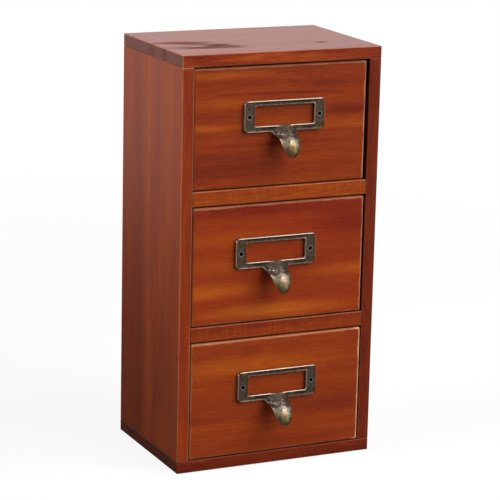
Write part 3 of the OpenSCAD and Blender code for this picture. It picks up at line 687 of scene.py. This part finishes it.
# The ring sets in between these distances from a screw's axis, in mm, to which the grime adds some waver
RING_FROM, RING_TO = 1.25, 1.75
for drawer in DRAWERS:
    node = drawer + "_pull_screws"
    material, tree = new_material("blackened_brass_" + node)
    local = in_piece(tree, node)[0]
    place = add(tree, "SeparateXYZ", {0: local}, out=None)
    beside = add(tree, "Math", {0: place["X"]}, operation="ABSOLUTE")
    beside = add(tree, "Math", {0: beside, 1: SCREW_X}, operation="SUBTRACT")
    radius = add(tree, "CombineXYZ", {0: beside, 1: place["Z"]})
    radius = add(tree, "VectorMath", {0: radius}, operation="LENGTH", out="Value")
    grime = add(tree, "TexNoise", {"Vector": local, "Scale": 1 / 0.8, "Detail": 3.0, "Roughness": 0.6})
    radius = add(tree, "Math", {0: grime, 1: 0.6, 2: radius}, operation="MULTIPLY_ADD")
    # Painted: the dark middle is partly shade in the cross recess, and the pale ring partly a highlight
    ring = add(tree, "MapRange", {"Value": radius, "From Min": RING_FROM, "From Max": RING_TO})
    colour = add(tree, "ValToRGB", {0: ring}, stops=HEAD_TONES, out="Color")
    relief = add(tree, "Bump", {"Height": grime, "Strength": 0.3, "Distance": 0.08 * MM}, out="Normal")
    shader = add(tree, "BsdfPrincipled", {"Base Color": colour, "Metallic": 1.0, "Roughness": 0.5,
                                          "Normal": relief})
    finish_material(tree, shader)
    dress(node, material)


# Studio: a pale floor, a large soft key from the upper right in front, one lamp overhead, a small one with a
# grid close above the left side, and a room that is white behind the cabinet and to its left, and dimmer
# elsewhere. Distances are in metres.
WHITE = (1.0, 1.0, 1.0, 1.0)
FLOOR_REACH, FLOOR_Z = 12.0, -0.0005
BEHIND_LEFT = (-0.1, 0.1, 0.0)
material, tree = new_material("pale_studio_floor")
path = add(tree, "LightPath", out=None)
spot = add(tree, "NewGeometry", out="Position")
gap = add(tree, "VectorMath", {0: spot, 1: BEHIND_LEFT}, operation="DISTANCE", out="Value")

# In reflections the floor is white far behind the cabinet, and dimmer in front of it
ahead = add(tree, "SeparateXYZ", {0: spot}, out="Y")
behind = add(tree, "MapRange", {"Value": ahead, "From Min": -0.1, "From Max": 0.1})
away = add(tree, "MapRange", {"Value": gap, "From Min": 0.42, "From Max": 0.88})
away = add(tree, "Math", {0: away, 1: behind}, operation="MULTIPLY")
front_level = add(tree, "MapRange", {"Value": ahead, "From Min": -0.06, "From Max": -0.16, "To Max": 0.35})
away = add(tree, "Math", {0: away, 1: front_level}, operation="MAXIMUM")
mirrored = add(tree, "Math", {0: path["Is Glossy Ray"], 1: path["Is Transmission Ray"]}, operation="MAXIMUM")
mirrored = add(tree, "Math", {0: mirrored, 1: away}, operation="MULTIPLY")

# The camera sees it nearly white close to the cabinet, with a soft shadow, and quite white further off
white = add(tree, "MapRange", {"Value": gap, "From Min": 0.2, "From Max": 0.8, "To Min": 0.85,
                               "To Max": 1.0})
seen = add(tree, "Math", {0: path["Is Camera Ray"], 1: white}, operation="MULTIPLY")
share = add(tree, "Math", {0: seen, 1: mirrored}, operation="MAXIMUM")
paint = add(tree, "MapRange", {"Value": path["Is Camera Ray"], "To Min": 0.22, "To Max": 0.9})
matt = add(tree, "BsdfDiffuse", {"Color": paint})
glow = add(tree, "Emission", {"Color": WHITE, "Strength": 1.0})
finish_material(tree, add(tree, "MixShader", {0: share, 1: matt, 2: glow}))
mesh = bpy.data.meshes.new("floor")
corners = [(sx * FLOOR_REACH, sy * FLOOR_REACH, 0) for sx, sy in ((-1, -1), (1, -1), (1, 1), (-1, 1))]
mesh.from_pydata(corners, [], [(0, 1, 2, 3)])
floor = bpy.data.objects.new("floor", mesh)
floor.location.z = FLOOR_Z
mesh.materials.append(material)
bpy.context.scene.collection.objects.link(floor)

# The room is white to the camera, and lights the cabinet only faintly
world = bpy.data.worlds.new("white_room")
world.use_nodes = True
tree = world.node_tree
tree.nodes.clear()
path = add(tree, "LightPath", out=None)
mirrored = add(tree, "Math", {0: path["Is Glossy Ray"], 1: path["Is Transmission Ray"]}, operation="MAXIMUM")
toward = add(tree, "VectorMath", {0: add(tree, "TexCoord", out="Generated"), 1: (-0.6, 1.0, 0.0)},
             operation="DOT_PRODUCT", out="Value")
backdrop = add(tree, "MapRange", {"Value": toward, "From Min": -0.5, "From Max": 0.3, "To Min": 0.25,
                                  "To Max": 1.0})
level = add(tree, "Mix", {"Factor": mirrored, "A": 0.14, "B": backdrop}, data_type="FLOAT")
level = add(tree, "Math", {0: level, 1: path["Is Camera Ray"]}, operation="MAXIMUM")
room = add(tree, "Background", {"Color": WHITE, "Strength": level})
output = tree.nodes.new("ShaderNodeOutputWorld")
tree.links.new(room, output.inputs["Surface"])
bpy.context.scene.world = world


def softbox(name, place, aim, size, power, spread):
    """A round soft lamp at a place, turned to a point, with a grid that keeps its light within an angle."""
    lamp = bpy.data.lights.new(name, "AREA")
    lamp.shape, lamp.size, lamp.energy = "DISK", size, power
    lamp.spread = math.radians(spread)
    box = bpy.data.objects.new(name, lamp)
    box.location = place
    box.rotation_euler = (Vector(aim) - Vector(place)).to_track_quat("-Z", "Y").to_euler()
    bpy.context.scene.collection.objects.link(box)


softbox("key_softbox", place=(2.49, -3.18, 3.06), aim=(0.0, 0.0, 0.12), size=6.5, power=350.0, spread=180.0)
softbox("overhead_softbox", place=(0.49, -0.37, 1.17), aim=(0.0, -0.05, 0.13), size=0.4, power=3.1,
        spread=180.0)
softbox("left_softbox", place=(-0.5, 0.0, 0.62), aim=(-0.065, 0.0, 0.26), size=0.35, power=0.6, spread=60.0)


# Camera: a long lens 1.4 m away, to the front left and a little above. It was fitted to the cabinet's
# corners in the photograph, with the slight roll that they show.
azimuth, elevation, roll = math.radians(-25.21), math.radians(13.79), math.radians(1.32)
target = Vector((-1.45, -7.59, 125.3)) * MM
distance = 1388.7 * MM
level_run = math.cos(elevation)
back = Vector((math.sin(azimuth) * level_run, -math.cos(azimuth) * level_run, math.sin(elevation)))
lens = bpy.data.cameras.new("camera")
lens.sensor_width = 36.0
lens.lens = 162.06
lens.clip_start, lens.clip_end = 0.05, 50.0
camera = bpy.data.objects.new("camera", lens)
turn = (-back).to_track_quat("-Z", "Y").to_matrix() @ Matrix.Rotation(roll, 3, "Z")
camera.matrix_world = Matrix.Translation(target + distance * back) @ turn.to_4x4()
bpy.context.scene.collection.objects.link(camera)
bpy.context.scene.camera = camera
bpy.context.scene.view_settings.view_transform = "Standard"
